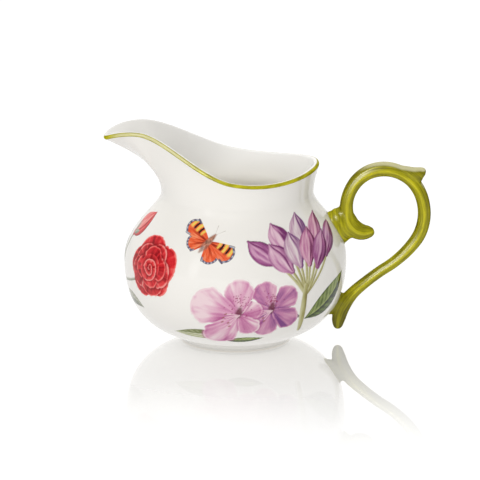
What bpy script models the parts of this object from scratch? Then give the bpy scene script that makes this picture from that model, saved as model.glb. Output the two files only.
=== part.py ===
"""A bone china cream jug with a scroll handle, a painted lip line and printed flower transfers.

Metres, +Z up. The pouring lip points to -X and the handle to +X. The jug is symmetrical about the XZ
plane, apart from where its transfers lie. The shapes are drawn round the belly's axis, and every object is
then moved by AXIS_FROM_ORIGIN, so that the origin is the middle of the jug's length on its resting plane.
"""

import math

import bmesh
import bpy
import numpy as np
from mathutils import Vector

MM = 0.001
GAP = 0.3 * MM
AXIS_FROM_ORIGIN = -13.08 * MM

# Driving dimensions of the vessel
BELLY_RADIUS = 46.0 * MM
BELLY_HEIGHT = 34.4 * MM
FOOT_RADIUS = 22.8 * MM
FOOT_HEIGHT = 1.2 * MM
FOOT_WIDTH = 2.6 * MM
NECK_RADIUS = 31.5 * MM
NECK_HEIGHT = 62.6 * MM
NECK_SHIFT = 0.8 * MM
WALL = 2.4 * MM
LIP_LINE = 0.9 * MM

# Fineness of the lofts
AROUND = 60
BELLY_RINGS = 10
SHOULDER_RINGS = 7
LIP_RINGS = 6

# Prints and luting slip lie on the belly as thin skins
TRANSFER_THICKNESS = 0.2 * MM
SLIP_THICKNESS = 0.5 * MM
HANDLE_CLEARANCE = GAP + SLIP_THICKNESS + GAP

PORCELAIN = ((0.86, 0.84, 0.80), 0.12)
HANDLE_GREEN = ((0.30, 0.28, 0.006), 0.16)
BISCUIT = ((0.80, 0.77, 0.72), 0.6)
ROSE_RED = ((0.60, 0.02, 0.02), 0.2)
WING_ORANGE = ((0.80, 0.16, 0.02), 0.2)
LILAC = ((0.48, 0.17, 0.44), 0.2)


# ---- scene and small helpers ----

def clear_scene():
    for obj in list(bpy.data.objects):
        bpy.data.objects.remove(obj, do_unlink=True)


def new_collection(name):
    collection = bpy.data.collections.new(name)
    bpy.context.scene.collection.children.link(collection)
    return collection


def material(name, finish):
    colour, roughness = finish
    made = bpy.data.materials.new(name)
    made.use_nodes = True
    shader = made.node_tree.nodes["Principled BSDF"]
    shader.inputs["Base Color"].default_value = (*colour, 1.0)
    shader.inputs["Roughness"].default_value = roughness
    shader.inputs["Metallic"].default_value = 0.0
    return made


def smooth_step(x):
    x = min(1.0, max(0.0, x))
    return x * x * (3 - 2 * x)


def mix(a, b, share):
    return a + (b - a) * share


def bezier(points, t):
    """A point on the cubic Bezier curve with these four control points."""
    a, b, c, d = (Vector(p) for p in points)
    s = 1 - t
    return a * s**3 + b * (3 * s * s * t) + c * (3 * s * t * t) + d * t**3


def catmull_rom(points, samples, closed=False):
    """A smooth curve through the points, as evenly spaced samples. A closed one ends on its first point."""
    knots = [Vector(p) for p in points]
    if closed:
        knots = [knots[-1], *knots, knots[0], knots[1]]
    else:
        knots = [2 * knots[0] - knots[1], *knots, 2 * knots[-1] - knots[-2]]
    dense = []
    steps = 24
    for a, b, c, d in zip(knots, knots[1:], knots[2:], knots[3:]):
        for i in range(steps):
            t = i / steps
            dense.append(
                0.5 * (2 * b + (c - a) * t + (2 * a - 5 * b + 4 * c - d) * t * t
                       + (3 * b - a - 3 * c + d) * t**3)
            )
    dense.append(knots[-2])
    return resample(dense, samples)


def resample(points, samples):
    """The same open curve with its points at equal distances."""
    path = np.array([tuple(p) for p in points])
    along = np.concatenate([[0], np.cumsum(np.linalg.norm(np.diff(path, axis=0), axis=1))])
    at = np.linspace(0, along[-1], samples)
    return [Vector(p) for p in np.stack([np.interp(at, along, column) for column in path.T], 1)]


def loft(name, rings, close_start=True, close_end=True):
    """A mesh object that joins rings of points, each anticlockwise seen from the end of the loft."""
    mesh = bpy.data.meshes.new(name)
    bm = bmesh.new()
    rows = [[bm.verts.new(p) for p in ring] for ring in rings]
    count = len(rows[0])
    for lower, upper in zip(rows, rows[1:]):
        for i in range(count):
            j = (i + 1) % count
            bm.faces.new((lower[i], lower[j], upper[j], upper[i]))
    if close_start:
        bm.faces.new(reversed(rows[0]))
    if close_end:
        bm.faces.new(rows[-1])
    bm.to_mesh(mesh)
    bm.free()
    mesh.shade_smooth()
    mesh.set_sharp_from_angle(angle=math.radians(50))
    return bpy.data.objects.new(name, mesh)


def place(obj, collection, finish):
    collection.objects.link(obj)
    obj.location.x = AXIS_FROM_ORIGIN
    obj.data.materials.append(finish)
    return obj


def as_guide(obj, guides):
    """Keeps a cutter or a joined piece out of renders."""
    guides.objects.link(obj)
    obj.location.x = AXIS_FROM_ORIGIN
    obj.hide_render = True
    obj.display_type = "WIRE"
    return obj


def boolean(obj, operation, other):
    made = obj.modifiers.new(f"{operation.lower()}_{other.name}", "BOOLEAN")
    made.operation = operation
    made.object = other
    made.solver = "EXACT"


def solidify(obj, thickness, offset):
    made = obj.modifiers.new("wall", "SOLIDIFY")
    made.thickness = thickness
    made.offset = offset
    made.use_even_offset = True


# ---- the vessel ----

def belly_curve(t):
    """(radius, height) of the outer wall: t is 0 at the foot, 1 at the widest part and 2 at the neck."""
    if t <= 1:
        return bezier((
            (FOOT_RADIUS, FOOT_HEIGHT),
            (FOOT_RADIUS + 5.1 * MM, FOOT_HEIGHT + 4.1 * MM),
            (BELLY_RADIUS, BELLY_HEIGHT - 27.6 * MM),
            (BELLY_RADIUS, BELLY_HEIGHT),
        ), t)
    return bezier((
        (BELLY_RADIUS, BELLY_HEIGHT),
        (BELLY_RADIUS, BELLY_HEIGHT + 14.1 * MM),
        (NECK_RADIUS, NECK_HEIGHT - 6.2 * MM),
        (NECK_RADIUS, NECK_HEIGHT),
    ), t - 1)


def axis_shift(height):
    """How far the wall's axis has moved towards the handle at a height between belly and neck."""
    return NECK_SHIFT * smooth_step((height - BELLY_HEIGHT) / (NECK_HEIGHT - BELLY_HEIGHT))


def wall_point(angle, t, lift=0.0):
    """A point lift outside the wall's surface. angle is round from the handle and t is belly_curve's."""
    radius, height = belly_curve(t)
    tangent = (belly_curve(min(2.0, t + 0.01)) - belly_curve(max(0.0, t - 0.01))).normalized()
    radius += tangent.y * lift
    return Vector((
        axis_shift(height) + radius * math.cos(angle), radius * math.sin(angle), height - tangent.x * lift,
    ))


# The lip seen from above: a round bowl at the handle's side that narrows to the pouring channel and its nose
LIP_CURVE = (
    ((34.4, 0.0, 74.3), (34.4, 17.6, 75.2), (18.1, 32.4, 68.2), (-2.0, 32.4, 72.7)),
    ((-2.0, 32.4, 72.7), (-16.0, 32.4, 75.9), (-30.5, 17.2, 89.0), (-40.4, 14.5, 89.1)),
    ((-40.4, 14.5, 89.1), (-47.2, 12.6, 89.2), (-54.6, 7.0, 86.4), (-54.6, 0.0, 85.0)),
)
NOSE_X = LIP_CURVE[2][3][0] * MM


def lip_stations(count):
    """Points right round the lip at equal distances, starting over the handle."""
    steps = 60
    half = [bezier(span, i / steps) * MM for span in LIP_CURVE for i in range(steps)]
    half.append(Vector(LIP_CURVE[-1][-1]) * MM)
    half = resample(half, count // 2 + 1)
    return half + [Vector((p.x, -p.y, p.z)) for p in reversed(half[1:-1])]


def lip_wall(stations, index):
    """The four control points of the wall from the neck up to one lip station."""
    lip = stations[index]
    angle = math.atan2(lip.y, lip.x - NECK_SHIFT)
    neck = wall_point(angle, 2.0)
    spout = smooth_step((-lip.x - 2 * MM) / (-NOSE_X - 2 * MM))
    nose = smooth_step((-lip.x - 40 * MM) / (-NOSE_X - 40 * MM))
    lean = math.radians(mix(mix(16, 26, spout), 65, nose))
    tangent = stations[(index + 1) % len(stations)] - stations[index - 1]
    outward = Vector((tangent.y, -tangent.x, 0)).normalized()
    direction = outward * math.sin(lean) + Vector((0, 0, math.cos(lean)))
    return (
        neck,
        neck + Vector((0, 0, mix(4.0, 11.0, spout) * MM)),
        lip - direction * (mix(3.5, 13.5, spout) * MM),
        lip,
    )


def rings_to_lip(count, last_depth, first_depth=None):
    """Rings of the outer wall up to last_depth under the lip, from first_depth or else from the neck."""
    stations = lip_stations(AROUND)
    made = [[] for _ in range(count)]
    for index in range(AROUND):
        control = lip_wall(stations, index)
        end_speed = 3 * (control[3] - control[2]).length
        first = 0.0 if first_depth is None else 1 - first_depth / end_speed
        last = 1 - last_depth / end_speed
        for row, ring in enumerate(made):
            ring.append(bezier(control, mix(first, last, row / (count - 1))))
    return made


def outer_skin():
    """Rings from the bottom's edge up to just under the painted lip line."""
    angles = [math.atan2(p.y, p.x - NECK_SHIFT) for p in lip_stations(AROUND)]
    stops = [i / BELLY_RINGS for i in range(BELLY_RINGS)]
    stops += [1 + i / SHOULDER_RINGS for i in range(SHOULDER_RINGS)]
    rings = [[wall_point(angle, t) for angle in angles] for t in stops]
    return rings + rings_to_lip(LIP_RINGS, last_depth=LIP_LINE + GAP)


def turned(name, profile):
    """A closed profile of (radius, height) points, top to bottom down its outer side, turned about Z."""
    mesh = bpy.data.meshes.new(name)
    points = [(radius, 0, height) for radius, height in profile]
    edges = [(i, (i + 1) % len(points)) for i in range(len(points))]
    mesh.from_pydata(points, edges, [])
    obj = bpy.data.objects.new(name, mesh)
    screw = obj.modifiers.new("turn", "SCREW")
    screw.axis = "Z"
    screw.steps = AROUND
    screw.render_steps = AROUND
    screw.use_merge_vertices = True
    screw.merge_threshold = 0.01 * MM
    screw.use_smooth_shade = True
    return obj


def make_foot_ring():
    """The ring that the jug stands on. Its top lies inside the bottom, which it is joined to."""
    outer = FOOT_RADIUS - 0.1 * MM
    inner = outer - FOOT_WIDTH
    top = FOOT_HEIGHT + 0.8 * MM
    chamfer = 0.4 * MM
    profile = [
        (outer, top), (outer, chamfer), (outer - chamfer, 0),
        (inner + chamfer, 0), (inner, chamfer), (inner, top),
    ]
    return turned("foot_ring_form", profile)


def make_jug_body(parts, guides):
    """The slip-cast vessel: one wall of even thickness with an open lip, on a foot ring."""
    body = loft("jug_body", outer_skin(), close_start=True, close_end=False)
    place(body, parts, material("porcelain", PORCELAIN))
    solidify(body, WALL, -1)
    boolean(body, "UNION", as_guide(make_foot_ring(), guides))
    return body


def make_rim_line(parts):
    """The enamelled edge of the lip, as a bead on top of the wall."""
    line = loft("rim_line", rings_to_lip(2, 0.0, first_depth=LIP_LINE), close_start=False, close_end=False)
    place(line, parts, material("rim_enamel", HANDLE_GREEN))
    solidify(line, WALL, -1)
    bevel = line.modifiers.new("round_edges", "BEVEL")
    bevel.width = 0.35 * MM
    bevel.segments = 1
    bevel.limit_method = "ANGLE"
    bevel.angle_limit = math.radians(60)
    return line


# ---- the handle ----

# The scroll from the thumb curl, over the top and down to the tail: x, z, thickness and width in millimetres
SCROLL = (
    (56.9, 45.1, 3.2, 3.4),
    (55.3, 44.9, 4.6, 5.0),
    (51.5, 45.0, 5.3, 6.6),
    (48.6, 46.8, 5.6, 7.6),
    (46.6, 50.2, 5.4, 8.2),
    (45.9, 56.0, 5.0, 8.2),
    (47.0, 61.6, 4.8, 8.2),
    (50.2, 66.8, 4.7, 8.2),
    (55.0, 70.4, 4.7, 8.2),
    (60.8, 71.8, 4.7, 8.2),
    (66.6, 70.9, 4.8, 8.2),
    (72.0, 67.9, 4.9, 8.0),
    (75.8, 63.0, 4.9, 7.8),
    (77.8, 57.0, 4.9, 7.5),
    (78.0, 50.5, 4.9, 7.2),
    (76.0, 43.8, 4.8, 6.8),
    (71.5, 37.8, 4.5, 6.4),
    (65.6, 32.6, 4.1, 6.0),
    (59.6, 28.4, 3.9, 5.8),
    (53.8, 23.8, 4.0, 5.8),
    (48.6, 19.0, 4.4, 6.2),
    (45.0, 13.6, 4.8, 6.4),
    (43.3, 8.4, 4.4, 5.6),
    (42.7, 5.2, 3.0, 3.8),
    (42.6, 4.0, 1.5, 2.0),
)
SCROLL_STATIONS = 60
SECTION_POINTS = 16


def section(x, z, along, thickness, width, squareness, flute):
    """A rounded section across the direction along, in mm, with a shallow flute down each side face."""
    across = Vector((along.z, 0, -along.x))
    ring = []
    for i in range(SECTION_POINTS):
        turn = 2 * math.pi * i / SECTION_POINTS
        c, s = math.cos(turn), math.sin(turn)
        reach = (abs(c) ** squareness + abs(s) ** squareness) ** (-1 / squareness)
        dip = 1 - flute * max(0.0, abs(s) - 0.7) / 0.3
        sideways = Vector((0, s * reach * width / 2 * dip, 0))
        ring.append((Vector((x, 0, z)) + across * (c * reach * thickness / 2) + sideways) * MM)
    return ring


def make_scroll():
    """The strap of the handle, swept along its scroll in the XZ plane."""
    stations = catmull_rom([(x, z, thick, wide) for x, z, thick, wide in SCROLL], SCROLL_STATIONS)
    rings = []
    for index, (x, z, thickness, width) in enumerate(stations):
        before = stations[max(0, index - 1)]
        after = stations[min(len(stations) - 1, index + 1)]
        along = Vector((after[0] - before[0], 0, after[1] - before[1])).normalized()
        rings.append(section(x, z, along, thickness, width, squareness=3.2, flute=0.07))
    return loft("scroll_form", rings)


def branch(name, start, end, sizes):
    """A straight branch between two (x, z) points in mm. sizes are its (height, width) at equal steps."""
    start, end = Vector((start[0], 0, start[1])), Vector((end[0], 0, end[1]))
    along = (end - start).normalized()
    steps = 2 * (len(sizes) - 1)
    profile = catmull_rom([(i, *size) for i, size in enumerate(sizes)], steps + 1)
    rings = []
    for index, (_, height, width) in enumerate(profile):
        centre = start.lerp(end, index / steps)
        rings.append(section(centre.x, centre.z, along, height, width, squareness=2.3, flute=0.0))
    return loft(name, rings)


def make_leaf_tip():
    """The acanthus tip that stands off the top of the scroll."""
    sizes = ((1.5, 4.0), (3.6, 7.6), (4.2, 8.2), (4.0, 8.0), (2.6, 6.4), (0.9, 3.0))
    return branch("leaf_tip_form", (62.0, 70.9), (77.8, 70.9), sizes)


def make_leaf_base():
    """The web that carries the acanthus tip down to the scroll's shoulder."""
    sizes = ((3.0, 6.4), (5.4, 7.4), (5.0, 6.8), (1.6, 3.6))
    return branch("leaf_base_form", (69.0, 68.6), (76.6, 69.6), sizes)


def make_upper_collar():
    """The flared collar between the vessel's shoulder and the scroll."""
    sizes = ((15.4, 13.4), (14.4, 12.4), (12.6, 11.0), (11.0, 9.2), (8.6, 7.6), (5.4, 6.0))
    return branch("upper_collar_form", (37.6, 44.9), (48.6, 50.6), sizes)


def make_lower_foot():
    """The swelling where the lower end of the scroll is luted to the belly."""
    sizes = ((11.2, 8.6), (10.2, 7.8), (7.4, 6.8), (4.2, 5.2))
    return branch("lower_foot_form", (38.4, 16.6), (47.0, 13.2), sizes)


def make_handle(parts, guides):
    """The cast handle: scroll, tip, collar and lower foot in one piece, cut back to clear the luting slip."""
    handle = make_scroll()
    handle.name = "handle"
    place(handle, parts, material("handle_enamel", HANDLE_GREEN))
    for form in (make_leaf_tip(), make_leaf_base(), make_upper_collar(), make_lower_foot()):
        boolean(handle, "UNION", as_guide(form, guides))
    boolean(handle, "DIFFERENCE", as_guide(make_vessel_cutter(), guides))
    return handle


def make_vessel_cutter():
    """The belly grown by the handle's clearance, as one solid."""
    angles = [2 * math.pi * i / AROUND for i in range(AROUND)]
    stops = np.linspace(0.0, 2.0, 21)
    rings = [[wall_point(angle, t, HANDLE_CLEARANCE) for angle in angles] for t in stops]
    return loft("vessel_cutter", rings)


# ---- skins on the belly: luting slip and transfers ----

def stop_at(height):
    """The parameter of belly_curve at a height."""
    stops = np.linspace(0.0, 2.0, 201)
    return float(np.interp(height, [belly_curve(t)[1] for t in stops], stops))


def skin_point(degrees, height):
    """The point one gap off the belly, this many degrees round from the handle and at a height in mm."""
    return wall_point(math.radians(degrees), stop_at(height * MM), GAP)


def belly_skin(name, centre, outline, thickness, rings, around):
    """A thin skin over the belly. centre and outline are (degrees from the handle, height in mm)."""
    centre = Vector(centre)
    edge = catmull_rom(outline, around + 1, closed=True)[:-1]
    mesh = bpy.data.meshes.new(name)
    bm = bmesh.new()
    middle = bm.verts.new(skin_point(*centre))
    rows = []
    for ring in range(1, rings + 1):
        rows.append([bm.verts.new(skin_point(*centre.lerp(p, ring / rings))) for p in edge])
    for i in range(around):
        bm.faces.new((middle, rows[0][i], rows[0][(i + 1) % around]))
    for inner, outer in zip(rows, rows[1:]):
        for i in range(around):
            j = (i + 1) % around
            bm.faces.new((inner[i], outer[i], outer[j], inner[j]))
    bm.to_mesh(mesh)
    bm.free()
    obj = bpy.data.objects.new(name, mesh)
    solidify(obj, thickness, 1)
    return obj


# Outlines of the cut transfers: (degrees from the handle, height in mm), anticlockwise as seen on the jug
RHODODENDRON = (
    (-138, 8.5), (-122, 5.4), (-97, 5.0), (-72, 5.6), (-50, 9.0), (-33, 21), (-13, 33), (-13, 39),
    (-25, 48), (-25, 58), (-42, 60), (-64, 60), (-85, 57.5), (-84, 50), (-82, 41), (-101, 38.5),
    (-120, 33), (-125, 24), (-128, 15),
)
RHODODENDRON_CENTRE = (-70, 26)
BUTTERFLY = (
    (-86.5, 47), (-88, 51), (-103, 57.5), (-117, 59.5), (-127, 58), (-126, 52), (-118, 45), (-106, 41.5),
    (-93, 43),
)
BUTTERFLY_CENTRE = (-106, 51)
ROSE = (
    (-122.5, 39), (-127, 46.5), (-140, 52), (-158, 60.5), (-176, 60), (-190, 50), (-196, 34), (-190, 18),
    (-175, 8.5), (-156, 8.5), (-140, 17), (-127, 26),
)
ROSE_CENTRE = (-160, 34)
REAR_TURN = 160


def turned_round(point):
    """Where a point of a front transfer lies on its rear copy."""
    return point[0] + REAR_TURN, point[1]


def make_transfers(parts):
    """The printed sheets, each a thin skin on the belly. The rear repeats two of them."""
    rhododendron = (RHODODENDRON_CENTRE, RHODODENDRON, 9, 50, LILAC)
    butterfly = (BUTTERFLY_CENTRE, BUTTERFLY, 3, 22, WING_ORANGE)
    rose = (ROSE_CENTRE, ROSE, 7, 36, ROSE_RED)
    for name, (centre, outline, rings, around, finish) in (
        ("rhododendron_transfer", rhododendron),
        ("butterfly_transfer", butterfly),
        ("rose_transfer", rose),
        ("rear_rhododendron_transfer", rhododendron),
        ("rear_butterfly_transfer", butterfly),
    ):
        if name.startswith("rear"):
            centre = turned_round(centre)
            outline = [turned_round(point) for point in outline]
        sheet = belly_skin(name, centre, outline, TRANSFER_THICKNESS, rings, around)
        place(sheet, parts, material(f"{name}_print", finish))


def oval(centre, half_turn, half_height):
    corners = 12
    turns = [2 * math.pi * i / corners for i in range(corners)]
    return [(centre[0] + half_turn * math.cos(t), centre[1] + half_height * math.sin(t)) for t in turns]


def make_slip_joints(parts):
    """The two pads of casting slip that hold the handle's ends to the belly."""
    finish = material("slip", BISCUIT)
    for name, centre, half_turn, half_height in (
        ("upper_slip_joint", (0, 47.2), 7.0, 5.4),
        ("lower_slip_joint", (0, 14.6), 4.6, 4.2),
    ):
        pad = belly_skin(name, centre, oval(centre, half_turn, half_height), SLIP_THICKNESS, 2, 18)
        place(pad, parts, finish)


def main():
    clear_scene()
    parts = new_collection("cream_jug")
    guides = new_collection("guides")
    make_jug_body(parts, guides)
    make_rim_line(parts)
    make_handle(parts, guides)
    make_slip_joints(parts)
    make_transfers(parts)


main()
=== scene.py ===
"""The looks of the bone china cream jug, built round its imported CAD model.

Shapes are drawn in millimetres round the belly's axis, as in the CAD part, and placed by the CAD's own boxes.
"""

import math

import bpy
import numpy as np
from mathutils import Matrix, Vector


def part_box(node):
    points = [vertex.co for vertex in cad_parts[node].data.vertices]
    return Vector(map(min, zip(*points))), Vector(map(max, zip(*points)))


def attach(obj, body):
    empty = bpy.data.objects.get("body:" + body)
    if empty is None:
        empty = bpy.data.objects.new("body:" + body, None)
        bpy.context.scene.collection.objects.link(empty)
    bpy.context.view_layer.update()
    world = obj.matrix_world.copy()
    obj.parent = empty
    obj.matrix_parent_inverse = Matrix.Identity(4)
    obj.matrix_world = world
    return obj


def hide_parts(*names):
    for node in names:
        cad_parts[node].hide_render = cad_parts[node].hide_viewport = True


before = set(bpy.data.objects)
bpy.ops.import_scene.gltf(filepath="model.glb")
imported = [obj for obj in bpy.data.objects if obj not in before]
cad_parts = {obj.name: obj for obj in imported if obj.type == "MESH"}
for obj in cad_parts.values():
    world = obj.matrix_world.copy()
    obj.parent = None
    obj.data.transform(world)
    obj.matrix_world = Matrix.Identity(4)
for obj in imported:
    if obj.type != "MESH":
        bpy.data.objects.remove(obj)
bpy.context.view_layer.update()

MM = 0.001
BELLY_RADIUS = 46.0
BELLY_HEIGHT = 34.4
FOOT_RADIUS = 22.8
FOOT_HEIGHT = 1.2
FOOT_WIDTH = 2.6
NECK_RADIUS = 31.5
NECK_HEIGHT = 62.6
NECK_SHIFT = 0.8
WALL = 2.3
LIP_RADIUS = 1.1
BASE_HEIGHT = 1.45
FLOOR_HEIGHT = 3.34
FILM_DEPTH = 0.12

MERIDIANS = 240

# Where the belly's axis meets the resting plane, in the CAD's frame
ORIGIN = np.array([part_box("jug_body")[1][0] - BELLY_RADIUS * MM, 0.0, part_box("jug_body")[0][2]])


# ---- small helpers ----

def ramp(x, start=0.0, width=1.0):
    """Rises smoothly from 0 at start to 1 a width further on, which may be below it."""
    x = np.clip((x - start) / width, 0.0, 1.0)
    return x * x * (3 - 2 * x)


def mix(a, b, share):
    return a + (b - a) * share


def bezier(points, t):
    """Points on the cubic Bezier curve with these four control points, for an array t."""
    a, b, c, d = (np.asarray(p, float) for p in points)
    t = np.asarray(t, float)[..., None]
    s = 1 - t
    return a * s**3 + b * (3 * s * s * t) + c * (3 * s * t * t) + d * t**3


def norm(v):
    return np.linalg.norm(v, axis=-1)


def resample(path, samples):
    """The same open curve with its points at equal distances."""
    along = np.concatenate([[0], np.cumsum(norm(np.diff(path, axis=0)))])
    at = np.linspace(0, along[-1], samples)
    return np.stack([np.interp(at, along, column) for column in path.T], 1)


def smooth_curve(points, samples, closed=False):
    """A Catmull-Rom curve through the points, evenly sampled. A closed one ends on its first point."""
    knots = np.asarray(points, float)
    if closed:
        knots = np.concatenate([knots[-1:], knots, knots[:2]])
    else:
        knots = np.concatenate([2 * knots[:1] - knots[1:2], knots, 2 * knots[-1:] - knots[-2:-1]])
    t = np.linspace(0, 1, 25)[:-1, None]
    spans = []
    for a, b, c, d in zip(knots, knots[1:], knots[2:], knots[3:]):
        bend = (2 * a - 5 * b + 4 * c - d) * t**2 + (3 * b - a - 3 * c + d) * t**3
        spans.append(0.5 * (2 * b + (c - a) * t + bend))
    return resample(np.concatenate([*spans, knots[-2:-1]]), samples)


def unit(v):
    return v / np.maximum(norm(v), 1e-12)[..., None]


def turns(count):
    """Equal steps of angle right round."""
    return np.linspace(0, 2 * math.pi, count, endpoint=False)


def pointing(angle):
    """Flat unit vectors at these angles."""
    return np.stack([np.cos(angle), np.sin(angle)], -1)


def to_frame(points):
    """Design millimetres round the belly's axis to metres in the CAD's frame."""
    return np.asarray(points) * MM + ORIGIN


def placed(name, data):
    """A new object in the scene."""
    obj = bpy.data.objects.new(name, data)
    bpy.context.scene.collection.objects.link(obj)
    return obj


def mesh_object(name, points, faces):
    """A smooth mesh object from design points in mm and index tuples."""
    mesh = bpy.data.meshes.new(name)
    mesh.from_pydata(to_frame(points).tolist(), [], faces)
    mesh.update()
    mesh.shade_smooth()
    return placed(name, mesh)


def add_attribute(obj, name, values):
    """A float or colour value for every point of a mesh."""
    values = np.asarray(values, np.float32)
    if values.ndim == 1:
        obj.data.attributes.new(name, "FLOAT", "POINT").data.foreach_set("value", values)
    else:
        rgba = np.concatenate([values, np.ones((len(values), 1), np.float32)], 1)
        obj.data.attributes.new(name, "FLOAT_COLOR", "POINT").data.foreach_set("color", rgba.ravel())


def ring_faces(rings, count, closed=False):
    """Quads between rings of count points each. closed also joins the last ring to the first."""
    faces = []
    for i in range(rings if closed else rings - 1):
        low, high = i * count, (i + 1) % rings * count
        for j in range(count):
            k = (j + 1) % count
            faces.append((low + j, low + k, high + k, high + j))
    return faces


def stand_for(obj, node, material):
    """obj, in its material, is shown in place of a CAD node, on the jug's one body."""
    obj.data.materials.append(material)
    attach(obj, "root")
    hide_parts(node)


# ---- the vessel's surface ----

def belly_curve(t):
    """(radius, height) of the outer wall: t is 0 at the foot, 1 at the widest part and 2 at the neck."""
    lower = bezier((
        (FOOT_RADIUS, FOOT_HEIGHT), (FOOT_RADIUS + 5.1, FOOT_HEIGHT + 4.1),
        (BELLY_RADIUS, BELLY_HEIGHT - 27.6), (BELLY_RADIUS, BELLY_HEIGHT),
    ), np.minimum(t, 1.0))
    upper = bezier((
        (BELLY_RADIUS, BELLY_HEIGHT), (BELLY_RADIUS, BELLY_HEIGHT + 14.1),
        (NECK_RADIUS, NECK_HEIGHT - 6.2), (NECK_RADIUS, NECK_HEIGHT),
    ), np.maximum(t - 1.0, 0.0))
    return np.where(np.asarray(t)[..., None] <= 1.0, lower, upper)


# The outer wall's profile at equal steps along it, from the foot to the neck, with its outward normal
PROFILE = resample(belly_curve(np.linspace(0, 2, 1201)), 401)
PROFILE_LENGTH = norm(np.diff(PROFILE, axis=0)).sum()
PROFILE_S = np.linspace(0, PROFILE_LENGTH, len(PROFILE))
PROFILE_TANGENT = unit(np.gradient(PROFILE, axis=0))
PROFILE_NORMAL = np.stack([PROFILE_TANGENT[:, 1], -PROFILE_TANGENT[:, 0]], 1)


def on_profile(s, column, table):
    return np.interp(s, PROFILE_S, table[:, column])


def axis_shift(z):
    """How far the wall's axis has moved towards the handle at a height between belly and neck."""
    return NECK_SHIFT * ramp(z, BELLY_HEIGHT, NECK_HEIGHT - BELLY_HEIGHT)


def wall_points(angle, s, lift):
    """Points lift outside the wall, at angles round from the handle and lengths s up the profile."""
    z = on_profile(s, 1, PROFILE)
    radius = on_profile(s, 0, PROFILE) + on_profile(s, 0, PROFILE_NORMAL) * lift
    x = axis_shift(z) + radius * np.cos(angle)
    y = radius * np.sin(angle)
    return np.stack(np.broadcast_arrays(x, y, z + on_profile(s, 1, PROFILE_NORMAL) * lift), -1)


# The lip as three Bezier spans with shared ends: a round bowl at the handle's side that narrows to the
# pouring channel and its nose
LIP_CURVE = (
    (34.8, 0.0, 75.1), (34.8, 18.1, 75.4), (18.1, 33.0, 69.4), (-2.0, 33.0, 73.5), (-16.0, 33.0, 76.6),
    (-30.5, 16.9, 89.6), (-40.4, 13.3, 89.7), (-47.4, 10.8, 89.8), (-54.6, 6.2, 85.4), (-54.6, 0.0, 85.2),
)
NOSE_X = LIP_CURVE[-1][0]


def lip_stations():
    """Points right round the lip at equal distances, starting over the handle."""
    t = np.linspace(0, 1, 200)
    spans = [bezier(LIP_CURVE[i:i + 4], t[:-1]) for i in (0, 3, 6)]
    half = resample(np.concatenate([*spans, LIP_CURVE[-1:]]), MERIDIANS // 2 + 1)
    return np.concatenate([half, (half[1:-1] * (1, -1, 1))[::-1]])


LIP = lip_stations()
MERIDIAN_ANGLE = np.arctan2(LIP[:, 1], LIP[:, 0] - NECK_SHIFT)


def upper_wall():
    """Points of the outer wall from the neck to the foot of the lip's rounding, as (rings, meridians, 3)."""
    neck = wall_points(MERIDIAN_ANGLE, np.full(MERIDIANS, PROFILE_LENGTH), 0.0)
    spout = ramp(-LIP[:, 0], 2.0, -NOSE_X - 2.0)
    nose = ramp(-LIP[:, 0], 40.0, -NOSE_X - 40.0)
    lean = np.radians(mix(mix(16, 26, spout), 65, nose))[:, None]
    tangent = np.roll(LIP, -1, axis=0) - np.roll(LIP, 1, axis=0)
    outward = unit(np.stack([tangent[:, 1], -tangent[:, 0], np.zeros(MERIDIANS)], 1))
    up = np.array([0.0, 0.0, 1.0])
    direction = outward * np.sin(lean) + up * np.cos(lean)
    lower_handle = neck + up * mix(4.0, 11.0, spout)[:, None]
    upper_handle = LIP - direction * mix(3.5, 13.5, spout)[:, None]
    edge = LIP - direction * LIP_RADIUS
    return bezier((neck, lower_handle, upper_handle, edge), np.linspace(0, 1, 40)[:, None])


def grid_normals(grid):
    """Outward unit normals of a closed grid of (rings, meridians, 3) whose rings go up."""
    around = np.roll(grid, -1, axis=1) - np.roll(grid, 1, axis=1)
    up = np.gradient(grid, axis=0)
    return unit(np.cross(around, up))


def ring(radius, z):
    """One ring of the turned underside or inside, on the vessel's meridians."""
    return np.column_stack([radius * pointing(MERIDIAN_ANGLE), np.full(MERIDIANS, float(z))])


def lip_arc(outer, inner, direction, angles):
    """Rings over the lip's round top, from the outer wall (angle 0) to the inner one (180 degrees)."""
    middle = (outer + inner) / 2
    half = (outer - inner) / 2
    return [middle + half * math.cos(a) + direction * (LIP_RADIUS * math.sin(a)) for a in np.radians(angles)]


def foot_rings():
    """The hollow base and the foot ring's rounded section, from the middle outwards."""
    edge = FOOT_RADIUS - 0.1
    inside = edge - FOOT_WIDTH
    profile = [(r, BASE_HEIGHT) for r in (0.3, 8.0, 14.0, inside - 1.6)]
    profile += [(inside - 0.7, 1.38), (inside - 0.2, 1.12), (inside, 0.75)]
    profile += [(inside + step, z) for step, z in ((0.06, 0.35), (0.25, 0.1), (0.6, 0.0))]
    profile += [(edge - step, z) for step, z in ((0.6, 0.0), (0.25, 0.1), (0.06, 0.35))]
    profile += [(edge, 0.7), (edge, 0.95), (edge + 0.03, 1.12)]
    return [ring(r, z) for r, z in profile]


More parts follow.
